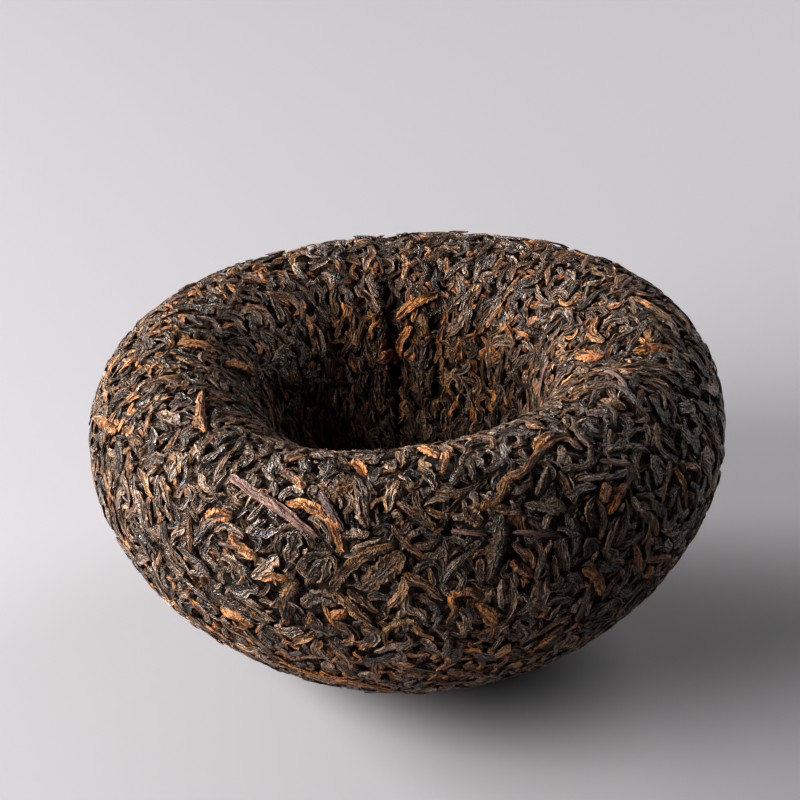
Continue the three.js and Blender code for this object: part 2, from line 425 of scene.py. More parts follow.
def leafColour(tree, shown, look):
    patches = calculate(tree, "SUBTRACT", shown["Patches"], 0.5)
    tone = calculate(tree, "MULTIPLY_ADD", patches, look["patchy"], attribute(tree, "leafTone"), clamp=True)
    colour = mixColours(tree, look["dark"], look["light"], tone)
    colour = mixColours(tree, colour, look["tip"], attribute(tree, "leafTip"))
    # Painted shade: the bump's valleys and creases are darkened towards the near-black crease colour
    paintedValleyShade = calculate(tree, "POWER", calculate(tree, "SUBTRACT", 1, shown["Ridges"]), wearAndSheen["valleyShadePower"])
    paintedValleyShade = calculate(tree, "MULTIPLY", paintedValleyShade, look["valleyShadeAmount"])
    creases = calculate(tree, "MULTIPLY", shown["Creases"], look["creaseShadeAmount"])
    return mixColours(tree, colour, look["paintedCreaseShade"], calculate(tree, "MAXIMUM", paintedValleyShade, creases))


def leafWearAndSheen(tree, shown, look):
    # Edges and ridge tops are lightened: partly wear, partly painted sheen standing in for glints
    edge = calculate(tree, "POWER", attribute(tree, "leafEdge"), wearAndSheen["edge"])
    ridge = calculate(tree, "POWER", shown["Ridges"], wearAndSheen["ridge"])
    streaks = calculate(tree, "MULTIPLY_ADD", shown["Streaks"], *wearAndSheen["streaks"])
    grain = calculate(tree, "MULTIPLY_ADD", shown["Grain"], *wearAndSheen["grain"])
    wornAndSheen = calculate(tree, "MULTIPLY_ADD", edge, look["edgeWearAndSheen"], calculate(tree, "MULTIPLY", ridge, streaks))
    wornAndSheen = calculate(tree, "MULTIPLY", wornAndSheen, grain, clamp=True)
    least, more = look["wearAndSheen"]
    amount = calculate(tree, "MULTIPLY_ADD", attribute(tree, "leafTone"), more, least)
    return calculate(tree, "MULTIPLY", wornAndSheen, amount)


def bumpFrom(tree, height, distance):
    return addNode(tree, "ShaderNodeBump", {"Distance": distance * mm, "Height": height}).outputs[0]


def leafFinish(tree, look):
    place = addNode(tree, "ShaderNodeUVMap", {}, uv_map="leafUV").outputs[0]
    given = {"Vector": place, **look.get("scales", {})}
    shown = addNode(tree, "ShaderNodeGroup", given, node_tree=leafPattern).outputs
    colour, wornAndSheen = leafColour(tree, shown, look), leafWearAndSheen(tree, shown, look)
    plain, streaked = look["roughness"]
    given = {"Value": shown["Streaks"], "To Min": plain, "To Max": streaked}
    return {
        # the lightened edges and ridges take the streak colour here: wear and painted sheen
        "Base Color": mixColours(tree, colour, look["sheenAndWearColour"], wornAndSheen),
        "Roughness": addNode(tree, "ShaderNodeMapRange", given).outputs[0],
        "Normal": bumpFrom(tree, shown["Height"], look["bump"]),
        "Specular IOR Level": look["specular"],
    }


def addToCake(name, mesh):
    piece = addObject(name, mesh)
    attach(piece, "root")
    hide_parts("tea_cake")


coreLook = {
    "dark": (0.004, 0.003, 0.0025), "light": (0.03, 0.018, 0.012), "roughness": 0.9,
    "dustScale": 900, "dustDetail": 4, "bump": 0.6,
    "segments": (160, 108), "overFloor": 0.3,
}


def dustFinish(tree):
    place = tree.nodes.new("ShaderNodeTexCoord").outputs["Object"]
    dust = noise(tree, place, coreLook["dustScale"], coreLook["dustDetail"])
    return {
        "Base Color": mixColours(tree, coreLook["dark"], coreLook["light"], dust),
        "Roughness": coreLook["roughness"],
        "Normal": bumpFrom(tree, dust, coreLook["bump"]),
    }


def makeCore():
    around, high = coreLook["segments"]
    bm = bmesh.new()
    bmesh.ops.create_uvsphere(bm, u_segments=around, v_segments=high, radius=1)
    ball = np.array([v.co for v in bm.verts])
    azimuth = np.degrees(np.arctan2(ball[:, 1], ball[:, 0]))
    climb = climbAtShare((1 + ball[:, 2]) / 2)
    point, out = formFrame(azimuth, climb)
    faces = [[v.index for v in face.verts] for face in bm.faces]
    plain = BVHTree.FromPolygons([Vector(p) for p in point * mm], faces)
    sunk = point - out * cake["coreDepth"]
    sunk[:, 2] = np.maximum(sunk[:, 2], coreLook["overFloor"])
    for vert, place in zip(bm.verts, sunk * mm):
        vert.co = place
    bmesh.ops.recalc_face_normals(bm, faces=bm.faces)
    mesh = bpy.data.meshes.new("pressed_core")
    bm.to_mesh(mesh)
    bm.free()
    mesh.shade_smooth()
    mesh.materials.append(makeMaterial("leafDust", dustFinish))
    addToCake("pressed_core", mesh)
    print("core made")
    return plain  # the form before it is sunk, for laying leaves where the photo shows them


plainForm = makeCore()


def makeTube(around, rings, crowd):
    bm = bmesh.new()
    bmesh.ops.create_circle(bm, segments=around, radius=1)
    edges = list(bm.edges)
    for i in range(rings - 1):
        made = bmesh.ops.extrude_edge_only(bm, edges=edges)["geom"]
        edges = [g for g in made if isinstance(g, bmesh.types.BMEdge)]
        verts = [g for g in made if isinstance(g, bmesh.types.BMVert)]
        bmesh.ops.translate(bm, verts=verts, vec=(0, 0, 1))
    bmesh.ops.edgeloop_fill(bm, edges=[e for e in bm.edges if e.is_boundary])
    bmesh.ops.poke(bm, faces=[f for f in bm.faces if len(f.verts) > 4])
    bmesh.ops.recalc_face_normals(bm, faces=bm.faces)
    bm.verts.index_update()
    place = np.array([v.co for v in bm.verts])
    radial = np.hypot(place[:, 0], place[:, 1]).round()
    angle = np.arctan2(place[:, 1], place[:, 0]) % tau
    corners, across, along, sizes = [], [], [], []
    for face in bm.faces:
        turn = [angle[v.index] / tau for v in face.verts if radial[v.index]]
        wrap = max(turn) - min(turn) > 0.5
        turn = [t + 1 if wrap and t < 0.5 else t for t in turn]
        seen = iter(turn)
        for vert in face.verts:
            corners.append(vert.index)
            across.append(next(seen) if radial[vert.index] else sum(turn) / len(turn))
            ring = place[vert.index, 2]
            end = 0 if radial[vert.index] else (-0.5 if ring == 0 else 0.5)
            along.append(ring + end)
        sizes.append(len(face.verts))
    bm.free()
    return {
        "angle": angle, "radial": radial, "ring": place[:, 2].round().astype(int),
        "rings": rings, "around": around, "crowd": crowd,
        "corners": np.array(corners), "across": np.array(across),
        "along": (np.array(along) + 0.5) / rings, "sizes": np.array(sizes),
    }


def localPath(spec, s):
    heading = np.radians(spec["heading"] + spec["curl"] * s + spec["bend"] * np.sin(tau * s))
    step = spec["length"] * (s[..., 1:2] - s[..., :1])
    x = np.cumsum(np.cos(heading) * step, -1)
    y = np.cumsum(np.sin(heading) * step, -1)
    middle = s.shape[-1] // 2
    return x - x[..., middle:middle + 1], y - y[..., middle:middle + 1], heading


def column(spec):
    return {key: value[:, None] for key, value in spec.items()}


# What hangs into the squashed layer is pressed together there, down to the gap over the floor
foot = {"gap": 0.02, "squashed": 0.48}
leafForm = {
    "fullness": 0.6,  # a lower power gives fuller ends
    "widths": (0.55, 1.5),  # how far the roughness may narrow or widen a leaf
    "sway": 0.35,
    "sink": 0.9,  # share of its own height that a leaf lies under its top
    "ridges": 3, "ridgeShare": 0.7, "ridgeReach": (0.35, 1.7),
    "cupMiddle": 0.5,
    "tipFrom": 0.5,  # share of the way from the middle to an end where the tip's colour starts
}


def squashAtFoot(height):
    into = np.minimum(height - foot["gap"] - foot["squashed"], 0)
    return np.where(into < 0, foot["gap"] + foot["squashed"] * np.exp(into / foot["squashed"]), height)


def leafLines(c, s, random):
    shape = (len(c["width"]), s.shape[1])
    t = (s + 0.5) ** c["skew"]
    ends = c["startWidth"] * (1 - t) + c["endWidth"] * t
    taper = np.maximum(1 - np.abs(2 * t - 1) ** c["blunt"], 0) ** leafForm["fullness"] * (1 - ends) + ends
    wobble = np.clip(1 + c["rough"] * random.normal(0, 1, shape), *leafForm["widths"])
    half = c["width"] / 2 * taper * wobble
    thick = half * c["flat"]
    roll = np.radians(c["roll"] + c["twist"] * s)
    extent = np.sqrt((half * np.sin(roll)) ** 2 + (thick * np.cos(roll)) ** 2)
    lift = c["top"] - extent * leafForm["sink"] + c["tilt"] * 2 * s
    lift = lift + c["arch"] * (1 - 4 * s * s) - c["dive"] * (2 * s) ** 4
    sway = c["rough"] * c["width"] * random.normal(0, leafForm["sway"], shape)
    return half, thick, roll, lift, sway


def leafRidges(c, s, tube, angle, random):
    many, around = len(c["width"]), tube["around"]
    spoke = np.minimum((tube["angle"] / tau * around).round().astype(int) % around, around - 1)
    ridges = 1 + c["ridge"] * random.normal(0, 1, (many, around))[:, spoke]
    wave = np.cos(leafForm["ridges"] * angle + c["phase"] + c["spiral"] * s[:, tube["ring"]])
    ridges = ridges + c["ridge"] * leafForm["ridgeShare"] * wave
    return np.clip(ridges + c["crumple"] * random.normal(0, 1, (many, len(spoke))), *leafForm["ridgeReach"])


def leafBodies(point, out, spec, tube, random):
    many = len(point)
    c = column(spec)
    s = np.linspace(-0.5, 0.5, tube["rings"])[None, :]
    forward = unit(np.gradient(point, axis=1))
    side = unit(np.cross(out, forward))
    up = np.cross(forward, side)
    half, thick, roll, lift, sway = leafLines(c, s, random)
    ring, radial = tube["ring"], tube["radial"][None, :]
    angle = tube["angle"][None, :] + tube["crowd"] * np.cos(tube["angle"])[None, :]
    ridges = leafRidges(c, s, tube, angle, random)
    flatSide = np.cos(angle) * ridges * radial
    flatUp = np.sin(angle) * ridges * radial
    sideways = half[:, ring] * flatSide
    upright = thick[:, ring] * flatUp
    upright = upright + c["cup"] * half[:, ring] * (np.abs(flatSide) - leafForm["cupMiddle"]) * radial
    turn = roll[:, ring]
    across = sideways * np.cos(turn) - upright * np.sin(turn) + sway[:, ring]
    high = sideways * np.sin(turn) + upright * np.cos(turn) + lift[:, ring]
    over = np.maximum(high - c["press"], 0)
    high = high - over * (1 - pressed["give"])
    place = point[:, ring] + side[:, ring] * across[..., None] + up[:, ring] * high[..., None]
    place[..., 2] = squashAtFoot(place[..., 2])
    perimeter = c["width"] * (1 + c["flat"])
    leafUV = np.stack([
        perimeter * tube["across"][None, :] + c["patchX"],
        c["length"] * tube["along"][None, :] + c["patchY"],
    ], -1)
    fromMiddle = np.abs(2 * (ring / (tube["rings"] - 1)) ** c["skew"] - 1)
    tip = np.clip((fromMiddle - leafForm["tipFrom"]) / (1 - leafForm["tipFrom"]), 0, 1)
    return {
        "place": place.reshape(-1, 3),
        "corners": (tube["corners"][None, :] + np.arange(many)[:, None] * len(ring)).ravel(),
        "sizes": np.tile(tube["sizes"], many),
        "leafUV": leafUV.reshape(-1, 2),
        "cellUV": np.tile(np.stack([tube["across"], tube["along"]], -1), (many, 1, 1)),
        "leafTone": np.repeat(spec["tone"], len(ring)),
        "leafTip": (tip * c["tipTone"]).ravel(),
        "leafEdge": np.tile(np.abs(np.cos(angle)) * radial, (many, 1)).ravel(),
    }


sharpAngle = 48  # edges of leaves folded tighter than this stay crisp
cellMargin = 0.06  # each leaf has its own cell in the map that is kept for baking


def bakeCells(parts):
    perSide = ceil(sqrt(sum(len(p["cellUV"]) for p in parts)))
    atlas, first = [], 0
    for p in parts:
        index = np.arange(first, first + len(p["cellUV"]))
        corner = np.stack([index % perSide, index // perSide], -1)[:, None, :]
        atlas.append(((corner + cellMargin + (1 - 2 * cellMargin) * p["cellUV"]) / perSide).reshape(-1, 2))
        first += len(index)
    return np.vstack(atlas)


def makePiece(name, parts, material):
    place = np.vstack([p["place"] for p in parts]) * mm
    starts = np.cumsum([0] + [len(p["place"]) for p in parts])
    corners = np.concatenate([p["corners"] + start for p, start in zip(parts, starts)])
    sizes = np.concatenate([p["sizes"] for p in parts])
    mesh = bpy.data.meshes.new(name)
    mesh.vertices.add(len(place))
    mesh.vertices.foreach_set("co", place.ravel())
    mesh.loops.add(len(corners))
    mesh.loops.foreach_set("vertex_index", corners)
    mesh.polygons.add(len(sizes))
    mesh.polygons.foreach_set("loop_start", np.r_[0, np.cumsum(sizes)[:-1]])
    leafUV = mesh.uv_layers.new(name="leafUV")
    leafUV.uv.foreach_set("vector", np.vstack([p["leafUV"] for p in parts]).ravel())
    mesh.uv_layers.new(name="OFBake").uv.foreach_set("vector", bakeCells(parts).ravel())
    for label in ("leafTone", "leafTip", "leafEdge"):
        values = np.concatenate([p[label] for p in parts])
        mesh.attributes.new(label, "FLOAT", "POINT").data.foreach_set("value", values)
    mesh.update(calc_edges=True)
    mesh.shade_smooth()
    mesh.set_sharp_from_angle(angle=radians(sharpAngle))
    mesh.materials.append(material)
    addToCake(name, mesh)
    print(name, len(mesh.polygons), "faces")


seed = 11
tops = ((0.33, 0.14), (-0.18, 0.16), (-0.56, 0.18))  # each level's leaf tops over the form, and their scatter
pressed = {
    "height": 0.0, "scatter": 0.1, "give": 0.35,  # tops above this height keep this share of their rise
    "looseClimb": 0.46, "looseReach": 0.13, "loose": 0.45, "looseTop": 1.3, "looseRise": 0.8,  # round the belt
    "tightClimb": 0.62, "tightReach": 0.12, "tight": 0.5, "tightRise": 0.2,  # on the ring and in the hollow
}

# A tube's sides, its rings and how far the sides crowd to the upper face, for each level from the top down
leafTubes = ((8, 8, 0.35), (7, 7, 0.3), (6, 5, 0.0))
stemTubes = (leafTubes[1], leafTubes[1], leafTubes[2])
crumbTubes = ((5, 3, 0.0),) * 3

# Shares are of the levels. Flat is thickness by width, pairs are ranges, and single numbers are mostly spreads
bit = {
    "tubes": ((7, 5, 0.3), (6, 5, 0.2), (6, 4, 0.0)), "curl": 60, "bend": 18, "spiral": 2, "crumple": 0.12,
    "rough": 0.16, "cup": 0.4, "tipTone": 0.25,
}
kinds = {
    "black_twists": {
        "tubes": leafTubes, "count": 1400, "shares": (0.44, 0.34, 0.22),
        "length": (2.6, 7.0), "width": (0.55, 1.35), "flat": (0.5, 0.8), "curl": 40, "bend": 18,
        "twist": 80, "roll": 25, "ridge": 0.13, "spiral": 3.5, "crumple": 0.11, "rough": 0.09, "cup": 0.3,
        "ends": (0.1, 0.6), "tipTone": 0.35,
    },
    "charcoal_curls": {
        "tubes": leafTubes, "count": 1150, "shares": (0.46, 0.36, 0.18),
        "length": (2.6, 6.0), "width": (0.6, 1.4), "flat": (0.4, 0.7), "curl": 105, "bend": 25,
        "twist": 80, "roll": 20, "ridge": 0.14, "spiral": 3.5, "crumple": 0.12, "rough": 0.11, "cup": 0.4,
        "ends": (0.1, 0.6), "tipTone": 0.35,
    },
    "folded_leaves": {
        "tubes": leafTubes, "count": 1420, "shares": (0.5, 0.35, 0.15),
        "length": (2.2, 6.5), "width": (0.85, 2.2), "flat": (0.3, 0.5), "curl": 45, "bend": 18,
        "twist": 45, "roll": 18, "ridge": 0.17, "spiral": 2.5, "crumple": 0.14, "rough": 0.13, "cup": 0.5,
        "ends": (0.15, 0.75), "tipTone": 0.3,
    },
    "brown_leaves": {
        "tubes": leafTubes, "count": 1380, "shares": (0.56, 0.34, 0.1),
        "length": (2.4, 7.5), "width": (0.55, 1.6), "flat": (0.35, 0.65), "curl": 55, "bend": 22,
        "twist": 70, "roll": 20, "ridge": 0.14, "spiral": 3, "crumple": 0.11, "rough": 0.1, "cup": 0.4,
        "ends": (0.1, 0.65), "tipTone": 0.5,
    },
    "golden_tips": {
        "tubes": leafTubes, "count": 680, "shares": (0.6, 0.38, 0.02),
        "length": (1.5, 4.9), "width": (0.42, 1.1), "flat": (0.35, 0.6), "curl": 50, "bend": 22,
        "twist": 60, "roll": 18, "ridge": 0.12, "spiral": 3, "crumple": 0.09, "rough": 0.08, "cup": 0.35,
        "ends": (0.1, 0.55), "tipTone": 0.3,
    },
    "flat_flakes": {
        "tubes": leafTubes, "count": 90, "shares": (0.55, 0.45, 0),
        "length": (1.8, 3.8), "width": (1.1, 2.0), "flat": (0.16, 0.26), "curl": 30, "bend": 15,
        "twist": 30, "roll": 12, "ridge": 0.16, "spiral": 1, "crumple": 0.09, "rough": 0.15, "cup": 0.35,
        "ends": (0.25, 0.8), "tipTone": 0.2,
    },
    "stems": {
        "tubes": stemTubes, "count": 110, "shares": (0.6, 0.4, 0),
        "length": (3.2, 8.0), "width": (0.5, 0.8), "flat": (0.75, 0.95), "curl": 14, "bend": 4,
        "twist": 30, "roll": 10, "ridge": 0.07, "spiral": 0.5, "crumple": 0.03, "rough": 0.05, "cup": 0.05,
        "ends": (0.75, 0.95), "tipTone": 0.0,
    },
    "golden_bits": {
        **bit, "count": 640, "shares": (0.55, 0.45, 0.0), "length": (0.9, 2.6), "width": (0.4, 1.1),
        "flat": (0.35, 0.7), "twist": 60, "roll": 22, "ridge": 0.18, "ends": (0.15, 0.6),
    },
    "crumpled_bits": {
        **bit, "count": 2850, "shares": (0.28, 0.4, 0.32), "length": (1.1, 2.8), "width": (0.5, 1.25),
        "flat": (0.4, 0.8), "twist": 70, "roll": 25, "ridge": 0.2, "ends": (0.2, 0.7),
    },
    "crumbs": {
        "tubes": crumbTubes, "count": 1300, "shares": (0.3, 0.4, 0.3),
        "length": (0.4, 1.1), "width": (0.3, 0.7), "flat": (0.5, 0.9), "curl": 20, "bend": 5,
        "twist": 40, "roll": 45, "ridge": 0.15, "spiral": 1, "crumple": 0.12, "rough": 0.2, "cup": 0.1,
        "ends": (0.3, 0.7), "tipTone": 0.3,
    },
}

# In each look the near-black crease colour is painted shade, laid into the bump's valleys and creases
darkLook = {
    # The streak colour is partly wear and partly painted sheen on edges and ridge tops
    "dark": (0.0028, 0.0016, 0.0008), "light": (0.034, 0.0155, 0.0068), "sheenAndWearColour": (0.7, 0.455, 0.3),
    "tip": (0.32, 0.12, 0.035), "paintedCreaseShade": (0.002, 0.0011, 0.0006), "patchy": 0.8, "wearAndSheen": (0.23, 0.66),
    "edgeWearAndSheen": 0.8, "creaseShadeAmount": 0.95, "valleyShadeAmount": 0.85, "roughness": (0.45, 0.2), "bump": 0.85, "specular": 0.6,
}
goldenLook = {
    "dark": (0.05, 0.0125, 0.0025), "light": (0.52, 0.165, 0.029), "sheenAndWearColour": (0.82, 0.4, 0.145),
    "tip": (0.5, 0.2, 0.05), "paintedCreaseShade": (0.012, 0.004, 0.001), "patchy": 1.5, "wearAndSheen": (0.3, 0.6),
    "edgeWearAndSheen": 0.35, "creaseShadeAmount": 0.95, "valleyShadeAmount": 0.9, "roughness": (0.58, 0.4), "bump": 0.46,
    "specular": 0.45, "scales": {"Patch Scale": 0.8},
}
looks = {
    "black_twists": darkLook,
    "charcoal_curls": {
        **darkLook, "dark": (0.004, 0.0026, 0.0017), "light": (0.045, 0.0245, 0.014), "wearAndSheen": (0.22, 0.62),
    },
    "folded_leaves": {**darkLook, "light": (0.07, 0.03, 0.012), "scales": {"Wrinkle Scale": 2.0}, "bump": 0.66},
    "brown_leaves": {
        "dark": (0.016, 0.0058, 0.0021), "light": (0.17, 0.062, 0.0185), "sheenAndWearColour": (0.64, 0.36, 0.17),
        "tip": (0.45, 0.16, 0.045), "paintedCreaseShade": (0.005, 0.002, 0.0008), "patchy": 1.0, "wearAndSheen": (0.25, 0.75),
        "edgeWearAndSheen": 0.45, "creaseShadeAmount": 0.95, "valleyShadeAmount": 0.85, "roughness": (0.5, 0.28), "bump": 0.68,
        "specular": 0.5,
    },
    "golden_tips": goldenLook,
    "golden_bits": {
        **goldenLook, "dark": (0.06, 0.017, 0.0035), "light": (0.52, 0.165, 0.031), "sheenAndWearColour": (0.8, 0.4, 0.155),
        "patchy": 1.3, "creaseShadeAmount": 0.9, "valleyShadeAmount": 0.8, "bump": 0.44, "scales": {"Patch Scale": 0.9},
    },
    "flat_flakes": {
        "dark": (0.08, 0.027, 0.008), "light": (0.4, 0.16, 0.045), "sheenAndWearColour": (0.65, 0.4, 0.2),
        "tip": (0.4, 0.16, 0.05), "paintedCreaseShade": (0.025, 0.008, 0.002), "patchy": 1.0, "wearAndSheen": (0.3, 0.5),
        "edgeWearAndSheen": 0.35, "creaseShadeAmount": 0.9, "valleyShadeAmount": 0.5, "roughness": (0.6, 0.5), "bump": 0.24,
        "specular": 0.3,
    },
    "stems": {
        "dark": (0.03, 0.014, 0.01), "light": (0.2, 0.1, 0.075), "sheenAndWearColour": (0.42, 0.26, 0.2),
        "tip": (0.15, 0.08, 0.06), "paintedCreaseShade": (0.012, 0.006, 0.004), "patchy": 0.5, "wearAndSheen": (0.3, 0.4),
        "edgeWearAndSheen": 0.0, "creaseShadeAmount": 0.6, "valleyShadeAmount": 0.35, "roughness": (0.55, 0.42), "bump": 0.16,
        "specular": 0.4, "scales": {"Ridge Scale": 2.8, "Stretch": 0.06},
    },
    "crumpled_bits": {
        **darkLook, "light": (0.08, 0.035, 0.0135), "scales": {"Wrinkle Scale": 2.4}, "bump": 0.66,
    },
    "crumbs": {
        "dark": (0.015, 0.007, 0.003), "light": (0.2, 0.09, 0.03), "sheenAndWearColour": (0.4, 0.25, 0.14),
        "tip": (0.3, 0.13, 0.04), "paintedCreaseShade": (0.006, 0.003, 0.0015), "patchy": 0.5, "wearAndSheen": (0.3, 0.4),
        "edgeWearAndSheen": 0.0, "creaseShadeAmount": 0.6, "valleyShadeAmount": 0.3, "roughness": (0.6, 0.5), "bump": 0.2, "specular": 0.3,
    },
}


def traced(kind, *path, **more):
    return {"kind": kind, "path": path, **more}


golden, brown, curled = (partial(traced, kind) for kind in ("golden_tips", "brown_leaves", "charcoal_curls"))
folded, stem = partial(traced, "folded_leaves"), partial(traced, "stems")

# The leaves that stand out in the photo, each traced along its middle in pixels, with its width in mm
namedLeaves = {
    "longStem": stem((230, 477), (258, 496), (285, 513), (316, 538), width=1.3, tone=0.8, ends=(0.6, 0.5)),
    "goldenHook": golden((286, 503), (312, 507), (330, 521), (343, 552), width=1.4, tone=0.6),
    "shortStem": stem((320, 492), (331, 511), (344, 531), width=1.3, tone=0.1),
    "foldedCap": brown((324, 498), (336, 488), (354, 484), width=3.0, flat=0.6),
    "darkDrop": curled((353, 477), (360, 492), (362, 508), (367, 527), width=1.5, tone=0.6),
    "brownSliver": brown((396, 501), (417, 515), (436, 530), width=1.1, tone=0.2),
    "middleStemLeft": stem((451, 531), (468, 532), (488, 534), width=0.7),
    "middleStemRight": stem((512, 532), (532, 533), (550, 535), width=0.7, tone=0.6),
    "darkOverStem": curled((524, 505), (541, 507), (559, 514), width=1.0, tone=0.3),
    "ringStem": stem((599, 461), (614, 463), (630, 464), width=0.8),
    "goldenSweep": golden(
        (472, 519), (478, 508), (496, 500), (505, 481), (521, 473), (533, 460), (549, 443), (571, 435),
        width=1.35, tone=0.2, flat=0.4, ends=(0.7, 0.5)),
    "sweepEnd": brown((466, 507), (471, 518), (482, 522), width=1.7, tone=0.9),
    "blackBlade": curled((486, 582), (497, 552), (503, 521), width=2.2, tone=0.1, flat=0.45),
    "brownArc": brown((332, 597), (339, 577), (352, 564), (371, 553), (394, 546), width=1.4, tone=0.35),
    "brownFan": brown((361, 588), (381, 572), (405, 555), width=3.0, tone=0.15, flat=0.35),
    "brownLoop": brown((386, 645), (385, 631), (399, 622), (414, 622), (424, 629), width=1.0, tone=0.7),
    "goldenCrook": golden((447, 625), (455, 609), (452, 597), (466, 591), (484, 598), width=1.2, tone=0.2),
    "crookTail": golden((474, 603), (485, 612), (495, 625), width=1.9, flat=0.3),
    "wishboneLeft": brown((595, 496), (586, 508), (592, 530), width=0.9, tone=0.4),
    "wishboneRight": brown((595, 497), (602, 512), (600, 540), width=0.9, tone=0.4),
    "starLeft": golden((672, 468), (664, 484), (662, 504), width=1.0, tone=0.3),
    "starRight": golden((672, 468), (682, 484), (684, 506), width=1.1, tone=0.3),
    "starTop": golden((684, 465), (695, 468), (698, 483), width=1.0, tone=0.2),
    "rightNubUpper": golden((607, 482), (605, 492), (602, 503), width=1.5, tone=0.7),
    "rightNubLower": golden((625, 484), (617, 499), (607, 514), width=1.5, tone=0.6),
    "flankUpright": golden((633, 543), (637, 560), (638, 578), width=1.2),
    "flankLevel": golden((643, 560), (656, 558), (671, 557), width=1.1),
    "flankSlant": golden((582, 568), (595, 576), (601, 594), width=1.5),
    "lowRightTip": golden((533, 648), (547, 638), (563, 624), width=1.4, tone=0.6),
    "middleTip": golden((509, 561), (520, 568), (533, 577), width=1.3, tone=0.2),
    "lipTip": golden((534, 451), (542, 441), (553, 435), width=1.4, tone=0.7),
    "lipFlake": golden((419, 448), (429, 452), (439, 458), width=1.5, tone=0.8, flat=0.3),
    "lipDrop": golden((444, 452), (444, 462), (441, 473), width=0.9, tone=0.7),
    "lipTwist": curled((548, 467), (543, 481), (536, 496), width=1.1, tone=0.4),
    "backRightTip": golden((631, 296), (653, 308), (676, 324), width=1.4, tone=0.6),
    "backRightHook": golden((598, 318), (592, 333), (604, 343), width=1.3, tone=0.6),
    "rightRingFlake": golden((633, 352), (652, 349), (672, 349), width=1.6, tone=0.7, flat=0.3),
    "rightWallFlake": golden((577, 354), (590, 357), (605, 355), width=2.0, flat=0.3),
    "darkCurl": curled((552, 322), (558, 313), (568, 316), (571, 325), (562, 330), width=1.2, tone=0.6),
    "farLeftTip": golden((95, 418), (105, 424), (118, 431), width=1.7, tone=0.3, flat=0.35),
    "leftFlake": golden((206, 517), (219, 514), (233, 516), width=1.7, tone=0.7, flat=0.35),
    "leftFold": brown((187, 485), (194, 497), (200, 514), width=2.5, tone=0.3, flat=0.3),
    "leftUpright": golden((202, 393), (200, 412), (205, 434), width=1.2),
    "leftRingTip": golden((225, 364), (239, 368), (254, 375), width=1.3, tone=0.7),
    "backLeftTwist": curled((270, 296), (277, 309), (283, 323), width=1.0, tone=0.6),
    "topLeftTip": golden((182, 345), (198, 346), (215, 353), width=1.3, tone=0.6),
    "wallTipUpper": golden((399, 318), (414, 304), (437, 294), width=1.3, tone=0.8),
    "wallTipLower": golden((411, 326), (403, 341), (399, 359), width=1.2, tone=0.8),
    "wallNub": golden((379, 362), (386, 357), (393, 352), width=1.8),
    "undersideSweep": golden((278, 660), (316, 673), (356, 681), (400, 690), width=1.5, top=0.4),
    "leftSlant": golden((230, 532), (240, 546), (258, 558), width=1.4),
    "leftCrumb": golden((261, 579), (274, 575), (288, 579), width=1.1, tone=0.6),
    "underLongStem": golden((281, 473), (293, 478), (306, 488), width=1.2, tone=0.6),
    "lipHook": golden((349, 464), (358, 466), (366, 477), width=1.3, tone=0.6),
    "leftLongFold": folded((134, 488), (143, 505), (146, 522), (158, 541), width=1.8),
    "lowLeftTip": golden((220, 609), (237, 616), (253, 627), width=1.7),
    "lowFold": brown((297, 578), (288, 597), (285, 617), width=2.2, tone=0.3),
    "lowCurl": curled((303, 604), (318, 596), (337, 603), width=1.8, tone=0.35),
    "pairLeft": brown((336, 590), (350, 604), (371, 621), width=1.3, tone=0.7),
    "pairRight": brown((347, 590), (362, 600), (378, 613), width=1.1, tone=0.6),
    "lowNub": golden((333, 616), (340, 612), (347, 615), width=1.5, tone=0.7),
}

named = {
    "rings": 22, "around": 12, "crowd": 0.3,
    "tone": 0.5, "flat": 0.5, "top": 0.42, "ends": (0.25, 0.3),  # where a leaf doesn't say its own
    "rise": 0.3, "rough": 0.09,
    "twist": 0.35,  # share of their kind's twist
}
namedTube = makeTube(named["around"], named["rings"], named["crowd"])


def pixelLine(path, stations):
    knots = np.array(path, float)
    way = np.r_[0, np.cumsum(np.hypot(*np.diff(knots, axis=0).T))]
    where = np.linspace(0, way[-1], stations)
    slope = np.gradient(knots, way, axis=0)
    k = np.clip(np.searchsorted(way, where, side="right") - 1, 0, len(way) - 2)
    gap = (way[k + 1] - way[k])[:, None]
    u = (where - way[k])[:, None] / gap
    return ((2 * u ** 3 - 3 * u ** 2 + 1) * knots[k] + (u ** 3 - 2 * u ** 2 + u) * gap * slope[k]
            + (3 * u ** 2 - 2 * u ** 3) * knots[k + 1] + (u ** 3 - u ** 2) * gap * slope[k + 1])


def lineOnCake(path, stations):
    hits = [plainForm.ray_cast(*rayThrough(x, y))[0] for x, y in pixelLine(path, stations)]
    point = np.array([hit for hit in hits if hit]) / mm
    if len(point) < stations:  # a line over the edge keeps what lies on the cake
        share = np.linspace(0, len(point) - 1, stations)
        point = np.stack([np.interp(share, np.arange(len(point)), point[:, i]) for i in range(3)], -1)
    return point, formFrame(*placeOnForm(point))[1]


anyLeaf = {
    "size": (1.2, 2.3), "tone": (0.55, 0.95),  # beta draws: most are small, and few are of middle tone
    "widthBySize": 0.5, "skew": (0.7, 1.5), "blunt": (1.8, 4), "tilt": 0.14, "arch": (0.05, 0.08),
    "dive": (0, 0.45), "patch": (0, 60),
}


